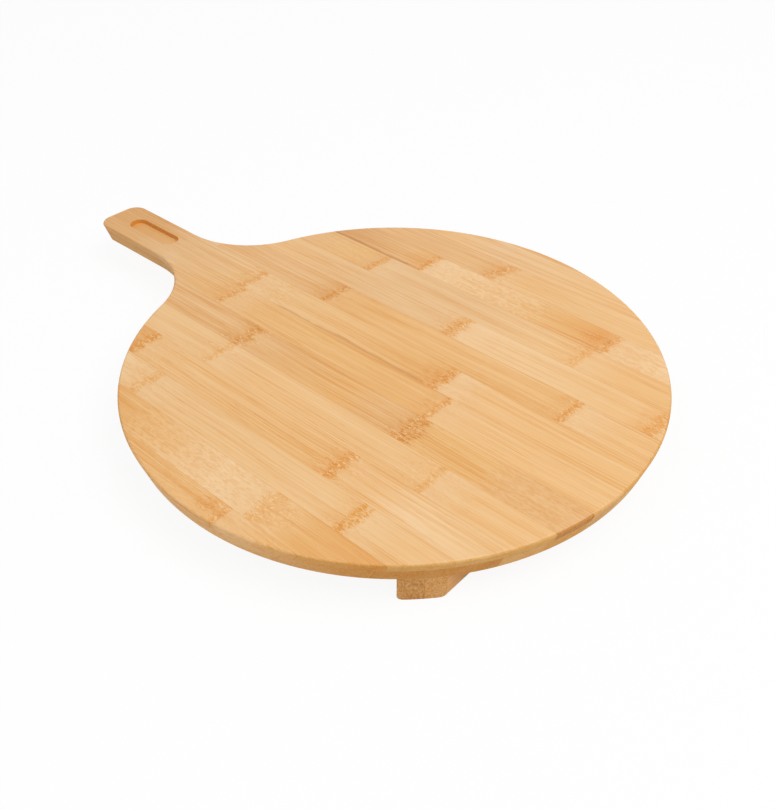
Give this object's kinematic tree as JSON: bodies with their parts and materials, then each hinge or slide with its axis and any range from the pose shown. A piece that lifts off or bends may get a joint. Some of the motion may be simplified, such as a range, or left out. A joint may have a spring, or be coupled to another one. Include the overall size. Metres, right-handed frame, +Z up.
{
  "type": "pizza serving board",
  "caption": "Round bamboo serving board for pizza with a flat handle, a blind recess in the handle, and runners underneath.",
  "frame": {"origin": "middle of the whole length and width, on the plane that the two runners stand on", "axes": "+X along the handle's centre line, away from the handle; +Y across the board; +Z up, out of the serving face"},
  "size_m": [0.432, 0.32, 0.0286],
  "materials": {
    "bamboo_honey": "satin, lightly oiled",
    "bamboo_amber": "satin, lightly oiled",
    "bamboo_pale": "satin, lightly oiled",
    "bamboo_tan": "satin, lightly oiled",
    "bamboo_smoked": "satin, lightly oiled",
    "bamboo_underside": "satin, lightly oiled",
    "bamboo_runner": "satin, lightly oiled"
  },
  "bodies": {
    "root": {"top_strip_01": "bamboo_honey", "top_strip_02": "bamboo_amber", "top_strip_03": "bamboo_honey", "top_strip_04": "bamboo_honey", "top_strip_05": "bamboo_pale", "top_strip_06": "bamboo_smoked", "top_strip_07": "bamboo_honey", "top_strip_08": "bamboo_pale", "top_strip_09": "bamboo_tan", "top_strip_10": "bamboo_pale", "top_strip_11": "bamboo_pale", "top_strip_12": "bamboo_tan", "top_strip_13": "bamboo_pale", "top_strip_14": "bamboo_pale", "top_strip_15": "bamboo_tan", "bottom_strip_01": "bamboo_underside", "bottom_strip_02": "bamboo_underside", "bottom_strip_03": "bamboo_underside", "bottom_strip_04": "bamboo_underside", "bottom_strip_05": "bamboo_underside", "bottom_strip_06": "bamboo_underside", "bottom_strip_07": "bamboo_underside", "bottom_strip_08": "bamboo_underside", "bottom_strip_09": "bamboo_underside", "bottom_strip_10": "bamboo_underside", "bottom_strip_11": "bamboo_underside", "bottom_strip_12": "bamboo_underside", "bottom_strip_13": "bamboo_underside", "bottom_strip_14": "bamboo_underside", "bottom_strip_15": "bamboo_underside", "front_runner_outer_strip": "bamboo_runner", "front_runner_inner_strip": "bamboo_runner", "handle_runner_inner_strip": "bamboo_runner", "handle_runner_outer_strip": "bamboo_runner"}
  },
  "joints": []
}
